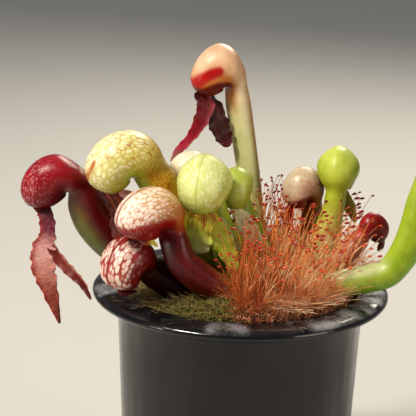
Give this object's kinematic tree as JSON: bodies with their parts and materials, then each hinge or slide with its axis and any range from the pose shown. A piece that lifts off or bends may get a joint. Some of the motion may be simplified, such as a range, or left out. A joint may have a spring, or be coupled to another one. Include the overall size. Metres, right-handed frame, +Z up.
{
  "type": "potted pitcher plant",
  "caption": "Hooded cobra-lily pitchers with forked tongues rising from fruiting moss and soil in a round plastic pot with a rolled rim.",
  "frame": {"origin": "middle of the pot's flat underside", "axes": "+Z up, -Y towards the side that the picture shows, +X to the right of that view"},
  "size_m": [0.1729, 0.1096, 0.1804],
  "materials": {
    "pot_plastic": "gloss",
    "soil": "matte",
    "moss_green": "matte",
    "moss_red": "matte",
    "leaf_cream": "satin",
    "leaf_lime": "satin",
    "leaf_red": "satin",
    "leaf_crimson": "satin"
  },
  "bodies": {
    "root": {"pot": "pot_plastic", "soil": "soil", "moss_green": "moss_green", "moss_red": "moss_red", "pitcher_tall_back": "leaf_cream", "pitcher_left_crimson": "leaf_crimson", "pitcher_veined": "leaf_lime", "pitcher_front_red": "leaf_red", "pitcher_low_red": "leaf_red", "pitcher_front_green": "leaf_lime", "pitcher_cream_behind": "leaf_cream", "pitcher_small_green": "leaf_lime", "pitcher_small_cream": "leaf_cream", "pitcher_upright_green": "leaf_lime", "pitcher_bud_red": "leaf_crimson", "pitcher_right_arched": "leaf_lime"}
  },
  "joints": []
}
